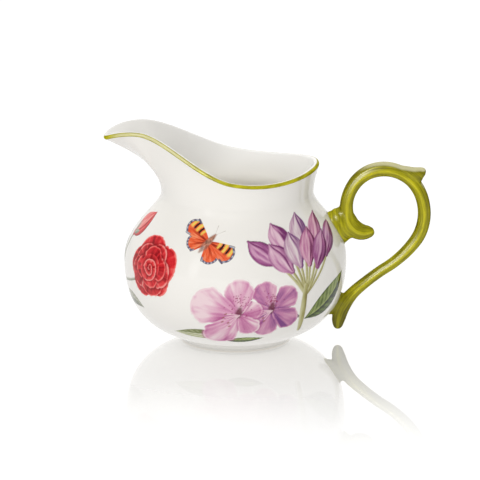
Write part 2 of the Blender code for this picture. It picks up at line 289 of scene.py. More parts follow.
def build_vessel():
    """The outer wall, round lip, inner wall, floor and foot ring as one closed skin.

    Returns the rings where the lip's rounding starts and ends, and the direction there.
    """
    lengths = np.linspace(0, PROFILE_LENGTH, 86)[:-1, None]
    outer = np.concatenate([wall_points(MERIDIAN_ANGLE, lengths, 0.0), upper_wall()])
    direction = unit(outer[-1] - outer[-2])
    inner = outer - grid_normals(outer) * WALL
    lip = lip_arc(outer[-1], inner[-1], direction, np.linspace(0, 180, 21)[1:-1])
    foot = foot_rings()
    floor = [ring(r, FLOOR_HEIGHT + rise) for r, rise in ((20.0, 0.08), (16.0, 0.02), (9.0, 0.0), (0.3, 0.0))]
    rings = [*foot, *outer, *lip, *inner[::-1], *floor]
    faces = ring_faces(len(rings), MERIDIANS)
    count = len(rings) * MERIDIANS
    top = count - MERIDIANS
    for j in range(MERIDIANS):
        k = (j + 1) % MERIDIANS
        faces += [(count, k, j), (top + j, top + k, count + 1)]
    points = np.concatenate([*rings, [(0, 0, BASE_HEIGHT), (0, 0, FLOOR_HEIGHT)]])
    body = mesh_object("china_body", points, faces)
    inside = np.zeros(len(points))
    inside[(len(foot) + len(outer) + len(lip) // 2) * MERIDIANS:count] = 1
    inside[-1] = 1
    add_attribute(body, "inside", inside)
    stand_for(body, "jug_body", porcelain_material())
    return outer[-1], inner[-1], direction


# ---- the painted lip line ----

def build_lip_line(outer, inner, direction):
    """The enamel over the outer half of the lip's round edge, a film that thins out at both borders."""
    drop = 0.2 + 0.7 * ramp(-LIP[:, 0:1], 20.0, 20.0)
    path = np.array([outer - direction * drop, *lip_arc(outer, inner, direction, np.linspace(2, 101, 14))])
    away = unit(path - (outer + inner) / 2)
    away[0] = away[1]
    film = 0.07 * np.sin(np.linspace(0, math.pi, len(path)))[:, None, None]
    top = path + away * (film - 0.014)
    under = path - away * FILM_DEPTH
    rings = [*top, *under[::-1]]
    line = mesh_object("lip_enamel", np.concatenate(rings), ring_faces(len(rings), MERIDIANS, closed=True))
    across = np.linspace(-1, 1, len(path))
    add_attribute(line, "across", np.repeat([*across, *across[::-1]], MERIDIANS))
    add_attribute(line, "along", np.tile(np.arange(MERIDIANS) / MERIDIANS, len(rings)))
    stand_for(line, "rim_line", enamel_material("lip_green", painted_line=True))
    return line


# ---- the handle ----

# The scroll from the thumb curl, over the top and down to the tail: x, z, thickness and width
SCROLL = (
    (57.2, 45.8, 2.0, 2.6), (55.6, 45.3, 4.4, 4.8), (52.2, 45.2, 6.1, 6.6), (48.9, 46.9, 6.8, 7.6),
    (46.7, 50.2, 5.5, 8.1), (45.9, 56.0, 5.0, 8.1), (47.0, 61.6, 4.8, 8.1), (50.1, 66.9, 4.9, 8.1),
    (54.9, 70.6, 5.1, 8.1), (60.8, 72.0, 5.2, 8.1), (66.6, 71.1, 5.1, 8.1), (72.0, 67.9, 4.9, 8.0),
    (75.8, 63.0, 4.9, 7.8), (77.8, 57.0, 4.9, 7.5), (78.0, 50.5, 4.9, 7.2), (76.0, 43.8, 4.8, 6.8),
    (71.5, 37.6, 4.4, 6.4), (65.7, 32.2, 4.0, 6.0), (59.6, 28.0, 3.9, 5.8), (53.8, 23.5, 4.0, 5.8),
    (48.6, 18.8, 4.5, 6.0), (44.7, 13.4, 5.6, 6.2), (43.0, 8.4, 5.2, 5.4), (42.6, 5.2, 3.7, 4.0),
    (42.5, 3.8, 1.8, 2.2),
)
SECTION_POINTS = 96
STATION_STEPS = 24
VOXEL = 0.23
HANDLE_GROWTH = 0.24
RIB_HEIGHT = 0.24
COLLAR_RIB = 0.07
COLLAR_PITCH = 2.2
SUNK_DEPTH = 0.8
SLIP_RADIUS = 0.34
SLIP_AROUND = 96
SLIP_SIDES = 12


def swept(stations, squareness):
    """(points, faces) of a closed form with rounded sections at stations of x, z, thickness and width."""
    path = smooth_curve(stations, STATION_STEPS * len(stations))
    x, z, thickness, width = path.T[:, :, None]
    along_x, along_z = unit(np.gradient(path[:, :2], axis=0)).T[:, :, None]
    c, s = pointing(turns(SECTION_POINTS)).T
    reach = (np.abs(c) ** squareness + np.abs(s) ** squareness) ** (-1 / squareness)
    flat, wide = c * reach * thickness / 2, s * reach * width / 2
    points = np.stack([x + flat * along_z, wide, z - flat * along_x], -1).reshape(-1, 3)
    faces = ring_faces(len(path), SECTION_POINTS)
    faces.append(tuple(reversed(range(SECTION_POINTS))))
    faces.append(tuple(range(len(points) - SECTION_POINTS, len(points))))
    return points, faces


LEAF_TIP = (
    (60.5, 71.6, 1.6, 4.0), (64.5, 71.5, 3.6, 7.4), (69.5, 70.6, 4.6, 8.2), (74.0, 70.0, 4.4, 8.4),
    (76.2, 70.4, 4.0, 7.8), (77.5, 71.3, 2.6, 6.4), (78.1, 72.0, 0.9, 3.0),
)
LEAF_BASE = ((70.0, 67.5, 3.0, 6.4), (73.5, 68.4, 4.6, 7.0), (76.2, 68.6, 3.4, 6.2), (77.2, 68.6, 1.2, 3.6))
COLLAR = (
    (36.0, 44.1, 15.6, 13.4), (39.4, 45.8, 14.9, 12.9), (41.6, 47.0, 14.2, 11.8), (43.6, 48.4, 13.6, 10.6),
    (45.6, 49.8, 13.6, 9.2), (47.4, 51.6, 11.4, 8.0), (48.8, 52.6, 7.0, 6.0),
)
LOWER_FOOT = (
    (36.6, 15.6, 11.4, 8.8), (39.6, 15.4, 10.6, 8.4), (42.2, 15.2, 9.2, 7.6), (44.6, 15.0, 6.8, 6.6),
    (46.8, 14.9, 3.4, 4.6),
)


def joined(forms):
    """One point array and face list from several."""
    points, faces, start = [], [], 0
    for form_points, form_faces in forms:
        points.append(form_points)
        faces += [tuple(i + start for i in face) for face in form_faces]
        start += len(form_points)
    return np.concatenate(points), faces


def remeshed(points, faces):
    """The union of closed forms as one even skin: (points, quads) in mm."""
    obj = mesh_object("union", points, faces)
    union = obj.modifiers.new("union", "REMESH")
    union.mode = "VOXEL"
    union.voxel_size = VOXEL * MM
    graph = bpy.context.evaluated_depsgraph_get()
    mesh = bpy.data.meshes.new_from_object(obj.evaluated_get(graph))
    found = np.empty(len(mesh.vertices) * 3)
    mesh.vertices.foreach_get("co", found)
    quads = np.empty(len(mesh.loops), np.int32)
    mesh.loops.foreach_get("vertex_index", quads)
    bpy.data.objects.remove(obj, do_unlink=True)
    bpy.data.meshes.remove(mesh)
    return (found.reshape(-1, 3) - ORIGIN) / MM, quads.reshape(-1, 4)


def quad_edges(quads):
    return np.concatenate([quads[:, [i, (i + 1) % 4]] for i in range(4)])


def summed(index, values, count):
    """The rows of values added up by their point number in index, for count points."""
    return np.stack([np.bincount(index, column, count) for column in values.T], 1)


def relaxed(points, quads, rounds):
    """The points, each moved halfway to the middle of its neighbours in each round. It rounds off joins."""
    at, neighbour = quad_edges(quads).T
    count = np.bincount(at, minlength=len(points))[:, None]
    for _ in range(rounds):
        points = mix(points, summed(at, points[neighbour], len(points)) / count, 0.5)
    return points


def point_normals(points, quads):
    a, b, c, d = (points[quads[:, i]] for i in range(4))
    face = np.cross(c - a, d - b)
    return unit(sum(summed(quads[:, i], face, len(points)) for i in range(4)))


# Points handled at a time, which keeps the table of distances small
BLOCK = 20000


def nearest_on_path(points, path):
    """(index of the nearest path point, distance from the path with the side as its sign) for 2-D points."""
    index = np.empty(len(points), np.int64)
    for start in range(0, len(points), BLOCK):
        block = points[start:start + BLOCK]
        index[start:start + BLOCK] = ((block[:, None] - path[None]) ** 2).sum(-1).argmin(1)
    step = np.gradient(path, axis=0)[index]
    heading = unit(step)
    offset = points - path[index]
    past_end = np.maximum(np.abs((offset * heading).sum(1)) - 0.55 * norm(step), 0.0)
    side = offset[:, 0] * heading[:, 1] - offset[:, 1] * heading[:, 0]
    return index, np.copysign(np.hypot(side, past_end), side)


def height_over_belly(points):
    """(distance outside the belly's surface, length up the profile) for points near it."""
    x = points[:, 0] - axis_shift(points[:, 2])
    flat = np.stack([np.hypot(x, points[:, 1]), points[:, 2]], 1)
    index, _ = nearest_on_path(flat, PROFILE)
    return ((flat - PROFILE[index]) * PROFILE_NORMAL[index]).sum(1), PROFILE_S[index]


def bump(x, centre, width):
    return np.exp(-((x - centre) / width) ** 2)


def handle_relief(across, depth, height, normals):
    """(relief in mm, share that lies on the scroll): a rib along the scroll and ribs round the collar."""
    side = ramp(np.abs(normals[:, 1]), 0.25, 0.5)
    on_scroll = ramp(depth, 3.0, 3.0)
    rib = RIB_HEIGHT * bump(across, 0.05, 0.22)
    grooves = 0.14 * bump(across, -0.5, 0.18) + 0.1 * bump(across, 0.5, 0.18)
    ribs = COLLAR_RIB * np.cos((depth - 0.9) * 2 * math.pi / COLLAR_PITCH)
    on_collar = ramp(depth, 6.0, -3.0) * ramp(height, 41.0, 3.0)
    return (rib - grooves) * side * on_scroll + ribs * on_collar * ramp(depth, 0.2, 0.4), on_scroll


def build_handle():
    """The cast handle: scroll, leaf tip, ribbed collar and lower foot as one skin, modelled in relief."""
    forms = ((SCROLL, 2.8), (LEAF_TIP, 2.4), (LEAF_BASE, 2.4), (COLLAR, 2.3), (LOWER_FOOT, 2.3))
    points, quads = remeshed(*joined([swept(*form) for form in forms]))
    points = relaxed(points, quads, 34)
    normals = point_normals(points, quads)
    points = points + HANDLE_GROWTH * normals
    spine = smooth_curve(np.array(SCROLL)[:, :2], 500)
    half = smooth_curve(np.array(SCROLL)[:, :3], 500)[:, 2] / 2
    index, offset = nearest_on_path(points[:, [0, 2]], spine)
    across = offset / half[index]
    depth, _ = height_over_belly(points)
    relief, on_scroll = handle_relief(across, depth, points[:, 2], normals)
    points = relaxed(points + normals * relief[:, None], quads, 5)
    sunk = np.maximum(-SUNK_DEPTH - height_over_belly(points)[0], 0.0)
    points = points + unit(points * (1, 1, 0)) * sunk[:, None]
    handle = mesh_object("scroll_handle", points, quads.tolist())
    height = points[:, 2]
    # The shade value is partly painted light: ribs lighter and grooves darker (partly where enamel thins and
    # pools, partly a painted highlight and shade), and painted shade along the strap's edges and towards its
    # lower end
    painted_edge_shade = np.minimum(np.abs(across), 1.0) ** 4 * on_scroll
    painted_low_shade = 1 - ramp(height, 8.0, 16.0)
    add_attribute(handle, "shade", 0.035 + 0.55 * relief - 0.13 * painted_edge_shade - 0.14 * painted_low_shade)
    # Painted sheen: faces turned up or outward near the top are painted paler, standing in for the bright
    # tent reflected there
    crest = normals[:, 2] + 0.42 * np.maximum(normals[:, 0], 0)
    add_attribute(handle, "thin_and_sheen", ramp(crest, 0.72, 0.3) * ramp(height, 55.0, 8.0))
    add_attribute(handle, "across", across)
    add_attribute(handle, "along", index / len(spine))
    stand_for(handle, "handle", enamel_material("handle_green", painted_line=False))
    build_slip_bead("upper", points[height > BELLY_HEIGHT])
    build_slip_bead("lower", points[height < BELLY_HEIGHT])
    return handle


def build_slip_bead(end, points):
    """The fettled slip round one end of the handle: a bead on the belly along the handle's footprint."""
    depth, s = height_over_belly(points)
    place = np.stack([np.arctan2(points[:, 1], points[:, 0]) * BELLY_RADIUS, s], 1)[np.abs(depth) < 0.15]
    centre = (place.min(0) + place.max(0)) / 2
    offset = place - centre
    turn = np.arctan2(offset[:, 1], offset[:, 0])
    reach = norm(offset)
    around = turns(SLIP_AROUND)
    order = np.argsort(turn)
    found = np.interp(around, turn[order], reach[order], period=2 * math.pi)
    for _ in range(6):
        found = (np.roll(found, 1) + 2 * found + np.roll(found, -1)) / 4
    rings = []
    for a in turns(SLIP_SIDES):
        out = found + 0.1 + SLIP_RADIUS * math.cos(a)
        angle = (centre[0] + out * np.cos(around)) / BELLY_RADIUS
        rings.append(wall_points(angle, centre[1] + out * np.sin(around), SLIP_RADIUS * math.sin(a)))
    faces = ring_faces(SLIP_SIDES, SLIP_AROUND, closed=True)
    bead = mesh_object(f"{end}_slip_bead", np.concatenate(rings), faces)
    stand_for(bead, f"{end}_slip_joint", slip_material())


# ---- painting the transfers ----

def ink(red, green, blue):
    """The colour that white china takes under an ink, from the usual 0 to 255 values."""
    value = np.array([red, green, blue]) / 255
    return np.where(value < 0.04045, value / 12.92, ((value + 0.055) / 1.055) ** 2.4)


def random_field(x, y, seed):
    """Smooth random values from 0 to 1, the same at every run."""
    cells = 64
    table = np.random.default_rng(seed).random((cells, cells))
    column, row = np.floor(x).astype(int), np.floor(y).astype(int)
    fx, fy = ramp(x - column), ramp(y - row)
    corners = [table[(column + i) % cells, (row + j) % cells] for i, j in ((0, 0), (1, 0), (0, 1), (1, 1))]
    return mix(mix(corners[0], corners[1], fx), mix(corners[2], corners[3], fx), fy)


def fibres(x, y, seed):
    """Three octaves of the random field."""
    return sum(random_field(x * k, y * k, seed + k) * w for k, w in ((1, 0.55), (2, 0.3), (4, 0.15)))


class Sheet:
    """A transfer laid flat, with u across and v up in mm from its centre, and the ink printed so far."""

    def __init__(self, u, v):
        self.place = np.stack([u, v], 1)
        self.colour = np.ones((len(u), 3))
        self.cover = np.zeros(len(u))

    def near(self, line, reach):
        """Indices of the points not farther than reach from the line's box."""
        inside = (self.place > line.min(0) - reach) & (self.place < line.max(0) + reach)
        return np.flatnonzero(inside.all(1))

    def lay(self, where, colour, cover):
        cover = np.clip(cover, 0, 1)
        self.colour[where] = mix(self.colour[where], colour, cover[:, None])
        self.cover[where] = np.maximum(self.cover[where], cover)

    def blade(self, path, half_widths, edge=0.25):
        """A long form round a path: (points, place along from 0 to 1, place across from -1 to 1, cover)."""
        line = smooth_curve(path, 160)
        where = self.near(line, max(half_widths) + 0.5)
        index, distance = nearest_on_path(self.place[where], line)
        steps = np.linspace(0, 1, len(half_widths))
        shape = smooth_curve(np.stack([steps, half_widths], 1), 80)
        along = index / (len(line) - 1)
        half = np.maximum(np.interp(along, shape[:, 0], shape[:, 1]), 0.01)
        return where, along, distance / half, ramp((half - np.abs(distance)) / edge + 0.5)

    def area(self, outline, edge=0.25):
        """A closed shape: (points, depth inside in mm, cover)."""
        line = smooth_curve(outline, 240, closed=True)
        where = self.near(line, 1.2)
        place = self.place[where]
        _, distance = nearest_on_path(place, line)
        inside = np.zeros(len(where), bool)
        for (x0, y0), (x1, y1) in zip(line, np.roll(line, -1, axis=0)):
            if y0 != y1:
                crosses = (y0 > place[:, 1]) != (y1 > place[:, 1])
                inside ^= crosses & (place[:, 0] < x0 + (x1 - x0) * (place[:, 1] - y0) / (y1 - y0))
        depth = np.where(inside, 1.0, -1.0) * np.abs(distance)
        return where, depth, ramp(depth / edge + 0.5)


def toned(tones, value):
    """Colours between a deep, a middle and a pale ink for values from 0 to 1."""
    value = np.clip(value, 0, 1)
    return np.stack([np.interp(value, (0.0, 0.5, 1.0), channel) for channel in np.array(tones).T], 1)


PLUM = (ink(98, 34, 86), ink(168, 92, 152), ink(224, 172, 208))
MAUVE = (ink(118, 50, 108), ink(202, 138, 184), ink(240, 206, 226))
MAGENTA = (ink(104, 34, 80), ink(200, 122, 170), ink(242, 196, 218))
LILAC = (ink(120, 70, 128), ink(200, 158, 190), ink(240, 226, 234))
PINK = (ink(186, 92, 152), ink(224, 156, 196), ink(248, 222, 234))
BLUSH = (ink(214, 140, 180), ink(240, 202, 220), ink(252, 236, 242))
ORCHID = (ink(126, 62, 136), ink(204, 130, 178), ink(236, 188, 212))
LEAF = (ink(24, 38, 8), ink(94, 116, 44), ink(164, 180, 104))
PALE_LEAF = (ink(120, 130, 80), ink(184, 190, 146), ink(222, 226, 200))
GREY_LEAF = (ink(96, 102, 84), ink(150, 154, 134), ink(196, 198, 182))
STALK = (ink(112, 100, 52), ink(176, 172, 108), ink(214, 212, 168))
CRIMSON = (ink(134, 4, 16), ink(232, 38, 48), ink(252, 124, 120))
SCARLET = (ink(150, 6, 18), ink(238, 54, 60), ink(254, 156, 152))


def paint_bud(sheet, path, half_widths, tones, seed, light=-0.2):
    """A closed bud: rounded look, long veins and the edge of its outer petal as a seam."""
    where, t, q, cover = sheet.blade(path, half_widths)
    value = 0.78 - 0.62 * np.abs(q - light) ** 1.6 + 1.1 * (fibres(q * 4.5 + 9, t * 2.4, seed) - 0.5)
    line = 0.3 * np.sin(math.pi * np.clip(t * 1.15, 0, 1)) + 0.15 * t
    value -= 0.42 * bump(q, line, 0.13) - 0.3 * bump(q, line - 0.24, 0.16)
    value -= 0.3 * ramp(t, 0.78, 0.22) + 0.12 * ramp(t, 0.15, -0.15)
    sheet.lay(where, toned(tones, value), cover)


def paint_petal(sheet, outline, root, tones, seed, level=0.58, rise=0.35, rim=0.25, fold=0.9):
    """An open petal: veins and folds that fan out of its root, and a rim of another tone."""
    where, depth, cover = sheet.area(outline)
    ruffle = 0.9 * (random_field(sheet.place[where, 0] * 0.9, sheet.place[where, 1] * 0.9, seed + 7) - 0.5)
    cover = cover * ramp((depth + ruffle) / 0.25 + 0.5)
    shade = sheet.cover[where] * ramp(depth, -1.1, 1.1)
    sheet.lay(where, tones[0], 0.6 * shade * (sheet.cover[where] > 0.5))
    middle = np.mean(outline, axis=0) - root
    offset = sheet.place[where] - root
    reach = norm(offset)
    turn = np.arctan2(middle[0] * offset[:, 1] - middle[1] * offset[:, 0], offset @ middle)
    veins = fibres(turn * 9 + 20, reach * 0.14, seed)
    folds = random_field(turn * 2.6 + 20, reach * 0.13, seed + 3)
    value = level + 0.85 * (veins - 0.5) + fold * (folds - 0.5) + rise * (reach / reach.max() - 0.5)
    value += rim * bump(depth, 0.25, 0.4) - 0.12 * bump(depth, 1.1, 0.5)
    sheet.lay(where, toned(tones, value), cover)


def paint_leaf(sheet, path, half_widths, tones, seed):
    """A leaf: one half darker, a pale midrib and slanting side veins."""
    where, t, q, cover = sheet.blade(path, half_widths)
    veins = np.sin((t * 9 - np.abs(q) * 1.3) * 2 * math.pi)
    value = 0.13 * veins - 0.18 * np.sign(q) * ramp(np.abs(q) * 6)
    value += 0.6 * (fibres(q * 2 + 5, t * 6, seed) - 0.5) - 0.3 * ramp(np.abs(q) * 4 - 3)
    value += 0.5 * bump(q, 0, 0.08) - 0.35 * bump(q, 0.2, 0.1)
    sheet.lay(where, toned(tones, 0.45 + 1.35 * value), cover)


def paint_stem(sheet, path, half_widths, tones, seed):
    where, t, q, cover = sheet.blade(path, half_widths)
    value = 0.62 - 0.42 * q + 0.7 * (fibres(q * 1.5 + 3, t * 5, seed) - 0.5)
    sheet.lay(where, toned(tones, value), cover)


def paint_dots(sheet, centre, spread, count, radius, colour, seed):
    """Fine speckles scattered round a place."""
    random = np.random.default_rng(seed)
    for place in random.normal(centre, spread, (count, 2)):
        where = sheet.near(place[None], 1.0)
        distance = norm(sheet.place[where] - place)
        sheet.lay(where, colour, 0.8 * ramp((radius - distance) / 0.2 + 0.5))


def bent_line(base, direction, length, bend=0.0):
    """A gently bent centre line that leaves its base in a direction, in degrees."""
    turn = np.radians(direction + bend * np.linspace(-0.5, 0.5, 4))
    steps = pointing(turn) * length / 4
    return np.asarray(base) + np.concatenate([np.zeros((1, 2)), np.cumsum(steps, axis=0)])


def lobe(root, direction, length, spread, blunt):
    """Outline of a petal or a wing: it opens from its root and has a rounded end."""
    across = np.linspace(-1, 1, 9)
    turn = np.radians(direction + spread * across)
    reach = length * (1 - blunt * np.abs(across) ** 2.2)
    return np.concatenate([[root], root + pointing(turn) * reach[:, None]])


def leaf_shape(half_width):
    return 0.3, 0.8 * half_width, half_width, 0.7 * half_width, 0.0


def paint_spray(sheet):
    """A generic flowering branch: leaves, a fan of buds on one stem and two five-petalled flowers."""
    leaves = (
        ((-13.0, -17.5), 178, 24, 3.2, PALE_LEAF), ((-14.0, -19.5), 4, 16, 2.2, LEAF),
        ((17.0, -8.0), 166, 14, 2.0, GREY_LEAF), ((20.0, -9.5), 32, 31, 5.2, LEAF),
    )
    for i, (base, direction, length, half_width, tones) in enumerate(leaves):
        paint_leaf(sheet, bent_line(base, direction, length, 16), leaf_shape(half_width), tones, 1 + i)
    paint_bud_fan(sheet, np.array([19.0, 2.0]))
    paint_stem(sheet, bent_line((18.0, -16.0), 87, 22, -6), (0.9, 1.4, 1.4, 1.1), STALK, 6)
    paint_flower(sheet, np.array([3.5, -3.0]), 13.5, 0.0, 40, ORCHID, 100)
    paint_flower(sheet, np.array([-10.0, -4.5]), 15.5, 6.0, 20, PINK, 120)


def paint_bud_fan(sheet, hub):
    """Two tiers of buds on stalks that spread from one point of the stem."""
    tones = (PLUM, MAUVE, LILAC, MAGENTA)
    for tier, (count, stalk, length) in enumerate(((5, 20.0, 15.0), (4, 13.0, 15.0))):
        for i in range(count):
            direction = 132 - 84 * (i + 0.5 * tier) / 4
            seed = 30 + 10 * tier + i
            line = bent_line(hub, direction, stalk, 10)
            paint_stem(sheet, line, (0.7, 0.6, 0.6), STALK, seed)
            bud = bent_line(line[-1], direction + 6, length, -10)
            paint_bud(sheet, bud, (1.4, 3.8, 4.6, 3.7, 0.6), tones[(i + tier) % 4], seed, light=-0.25)


def paint_flower(sheet, heart, size, droop, start, tones, seed):
    """Five ruffled petals, longer at the left by droop, with a dark speckled throat and stamens."""
    for i in range(5):
        direction = start + 72 * i
        length = size - droop * math.cos(math.radians(direction))
        outline = lobe(heart, direction, length, 34, 0.3)
        paint_petal(sheet, outline, heart, tones, seed + i)
    paint_dots(sheet, heart + (0, 0.35 * size), 0.13 * size, 46, 0.24, ink(150, 40, 88), seed + 6)
    where, _, _, cover = sheet.blade(bent_line(heart - (0.5, 0.5), 80, 3.5), (1.0, 1.5, 0.8), 1.4)
    sheet.lay(where, ink(96, 28, 48), cover * 0.85)
    for i in range(5):
        stamen = bent_line(heart, 176 + 15 * i, (0.38 + 0.06 * (i % 3)) * size, 14)
        paint_stem(sheet, stamen, (0.22, 0.16, 0.14), BLUSH, seed + 8)
        end = stamen[-1]
        where, _, _, cover = sheet.blade((end, end + (0.5, 0.3)), (0.32, 0.32), 0.2)
        sheet.lay(where, ink(150, 72, 58), cover * 0.8)


def paint_rose(sheet):
    """A generic full red rose, with a bud above it, a grey-green stem and plain leaves."""
    stem = bent_line((-25.0, -14.0), 80, 28, -10)
    paint_stem(sheet, stem, (0.9, 1.1, 1.0, 0.8), GREY_LEAF, 201)
    paint_stem(sheet, bent_line(stem[1], 12, 18, 10), (0.7, 0.6, 0.5), GREY_LEAF, 202)
    leaves = ((stem[0], -4, 22), (stem[1], 148, 14), (stem[0], 214, 13), (stem[2], 118, 15))
    for i, (base, direction, length) in enumerate(leaves):
        paint_leaf(sheet, bent_line(base, direction, length, -26), leaf_shape(3.0), GREY_LEAF, 204 + i)
    paint_bud(sheet, bent_line(stem[-1], 50, 16, 8), (1.6, 4.6, 5.2, 3.4, 0.2), SCARLET, 208)
    for side in (-32, 32):
        paint_leaf(sheet, bent_line(stem[-1], 50 + side, 6), leaf_shape(1.0), GREY_LEAF, 209)
    heart = np.array([3.6, 3.6])
    uneven = np.random.default_rng(5)
    rings = ((5, 13.8, CRIMSON), (5, 11.6, SCARLET), (4, 9.0, CRIMSON))
    style = {"level": 0.2, "rise": 1.2, "rim": 0.45, "fold": 0.8}
    for ring_index, (count, length, tones) in enumerate(rings):
        for i in range(count):
            direction = 100 + 360 * (i + 0.45 * ring_index) / count + uneven.uniform(-10, 10)
            outline = lobe(heart, direction, length * uneven.uniform(0.94, 1.06), 46, 0.26)
            paint_petal(sheet, outline, heart, tones, 211 + 10 * ring_index + i, **style)
    paint_bloom(sheet, heart, 5.8)


def paint_bloom(sheet, heart, size):
    """The rose's centre: rolled petals in rings, each dark at its foot with a pale edge."""
    where, _, cover = sheet.area(heart + size * pointing(turns(12)))
    offset = sheet.place[where] - heart
    radius = norm(offset)
    turn = np.arctan2(offset[:, 1], offset[:, 0]) / (2 * math.pi)
    wobble = 0.9 * (random_field(turn * 5 + 10, radius * 0.35, 240) - 0.5)
    rings = radius / 2.5 + turn + wobble
    ring, part = np.floor(rings), rings - np.floor(rings)
    sheen = fibres(turn * 26 + ring * 3.7, radius * 0.3, 241)
    petal_turn = (turn * 3 + 0.37 * ring) % 1.0
    value = 0.08 + 0.52 * ramp(part * 1.25) + 0.55 * (sheen - 0.5)
    value += 0.7 * bump(part, 0.93, 0.07) - 0.35 * bump(petal_turn, 0.5, 0.06) * (part < 0.8)
    value -= 0.3 * bump(radius, 0, 1.4)
    sheet.lay(where, toned(SCARLET, value), cover)


def paint_butterfly(sheet):
    """A generic orange butterfly: two mirrored pairs of wings, dark bars and margins, a brown body."""
    heading = 56
    root = np.array([-0.6, -0.4])
    orange = (ink(130, 26, 18), ink(246, 92, 52), ink(255, 180, 130))
    for side in (-1, 1):
        for turn, length, spread, bars in ((130, 9.6, 30, 0), (86, 13.0, 23, 4.2)):
            paint_wing(sheet, root, heading + side * turn, length, spread, orange, bars * side)
    paint_fur(sheet, bent_line(root, heading + 180, 5.5), (1.0, 1.5, 0.4), 311, 0.8)
    paint_fur(sheet, bent_line(root, heading, 4.0), (1.3, 1.1, 0.5), 312, 1.0)
    head = root + 3.8 * pointing(math.radians(heading))
    for side in (-1, 1):
        where, _, _, cover = sheet.blade(bent_line(head, heading + 26 * side, 4.4), (0.06, 0.06, 0.14), 0.16)
        sheet.lay(where, ink(150, 128, 120), cover * 0.55)


def paint_wing(sheet, root, direction, length, spread, tones, bars):
    """One wing: veined, with a scalloped margin. bars counts dark and yellow bars along its front edge."""
    where, depth, cover = sheet.area(lobe(root, direction, length, spread, 0.2), 0.16)
    offset = sheet.place[where] - root
    reach = norm(offset) / length
    turn = np.degrees(np.arctan2(offset[:, 1], offset[:, 0])) - direction
    turn = (turn + 180) % 360 - 180
    veins = fibres(turn * 0.14 + 30, reach * 2.2, 300)
    sheet.lay(where, toned(tones, 0.3 + 0.35 * reach + 1.1 * (veins - 0.5)), cover)
    if bars:
        phase = np.cos(reach * bars * 2 * math.pi + turn * 0.04)
        lead = ramp(reach, 0.3, 0.1) * ramp(turn * np.sign(bars), 6, -8) * cover
        sheet.lay(where, ink(250, 214, 92), lead * ramp(-phase, 0.2, 0.3))
        sheet.lay(where, ink(36, 26, 26), lead * ramp(phase, 0.45, 0.3))
    outer = cover * ramp(reach, 0.66, 0.08)
    scallop = 0.5 + 0.5 * np.sin(np.radians(turn) * 40)
    sheet.lay(where, ink(52, 40, 54), outer * ramp(depth, 0.95, -0.2))
    blue = (ink(96, 92, 120), ink(138, 148, 184), ink(206, 216, 232))
    sheet.lay(where, toned(blue, scallop), outer * bump(depth, 0.42, 0.3))


def paint_fur(sheet, path, half_widths, seed, strength):
    where, t, q, cover = sheet.blade(path, half_widths, 1.0)
    hair = fibres(q * 3 + 4, t * 5, seed)
    tones = (ink(96, 60, 52), ink(166, 118, 100), ink(222, 150, 122))
    sheet.lay(where, toned(tones, 0.45 + 1.3 * (hair - 0.5)), cover * strength)


# ---- the transfers on the wall ----

# The start of a piece's name and its turn round the axis, in degrees
SIDES = (("", 0.0), ("rear_", 160.0))
BORDER_CELLS = 4
PRINT_LIFT = 0.035
PRINT_SUNK = -0.06


def grown(level):
    """The array with every value spread to its four neighbours."""
    wide = np.pad(level, 1)
    around = np.maximum.reduce([wide[:-2, 1:-1], wide[2:, 1:-1], wide[1:-1, :-2], wide[1:-1, 2:]])
    return np.maximum(level, around)


def build_prints(motif, sides, centre, span, heights, cell, paint):
    """One painted transfer, fired on at each of the sides: a thin closed skin, sunk at its border."""
    centre_s, *s_range = np.interp([centre[1], *heights], PROFILE[:, 1], PROFILE_S)
    s = np.arange(*s_range, cell)
    angle = np.arange(*np.radians(span), cell / BELLY_RADIUS)
    grid_s, grid_angle = np.meshgrid(s, angle, indexing="ij")
    u = (grid_angle - np.radians(centre[0])) * on_profile(grid_s, 0, PROFILE)
    sheet = Sheet(u.ravel(), (grid_s - centre_s).ravel())
    paint(sheet)
    level = (sheet.cover > 0.04).reshape(u.shape).astype(float)
    border = level.copy()
    for _ in range(BORDER_CELLS):
        level = grown(level)
        border += level
    border = border / (BORDER_CELLS + 1)
    lift = mix(PRINT_SUNK, PRINT_LIFT, ramp(border * 1.6))
    kept = np.minimum.reduce([border[:-1, :-1], border[1:, :-1], border[:-1, 1:], border[1:, 1:]]) > 0
    faces, used = skin_faces(kept)
    for side, turn in sides:
        skin = wall_points(grid_angle + math.radians(turn), grid_s, np.stack([lift, lift - FILM_DEPTH]))
        piece = mesh_object(f"{side}{motif}_print", skin.reshape(-1, 3)[used], faces)
        add_attribute(piece, "ink", np.tile(sheet.colour, (2, 1))[used])
        stand_for(piece, f"{side}{motif}_transfer", print_material())


def skin_faces(kept):
    """Faces of a two-sided skin over the kept cells, and the indices of the points it uses."""
    columns = kept.shape[1] + 1
    count = (kept.shape[0] + 1) * columns
    i, j = np.nonzero(kept)
    a = i * columns + j
    top = np.stack([a, a + 1, a + columns + 1, a + columns], 1)
    edges = quad_edges(top)
    rim = edges[~np.isin(edges @ (count, 1), edges @ (1, count))]
    sides = np.concatenate([rim[:, ::-1], rim + count], 1)
    used, faces = np.unique(np.concatenate([top, top[:, ::-1] + count, sides]), return_inverse=True)
    return faces.reshape(-1, 4).tolist(), used


# ---- materials ----

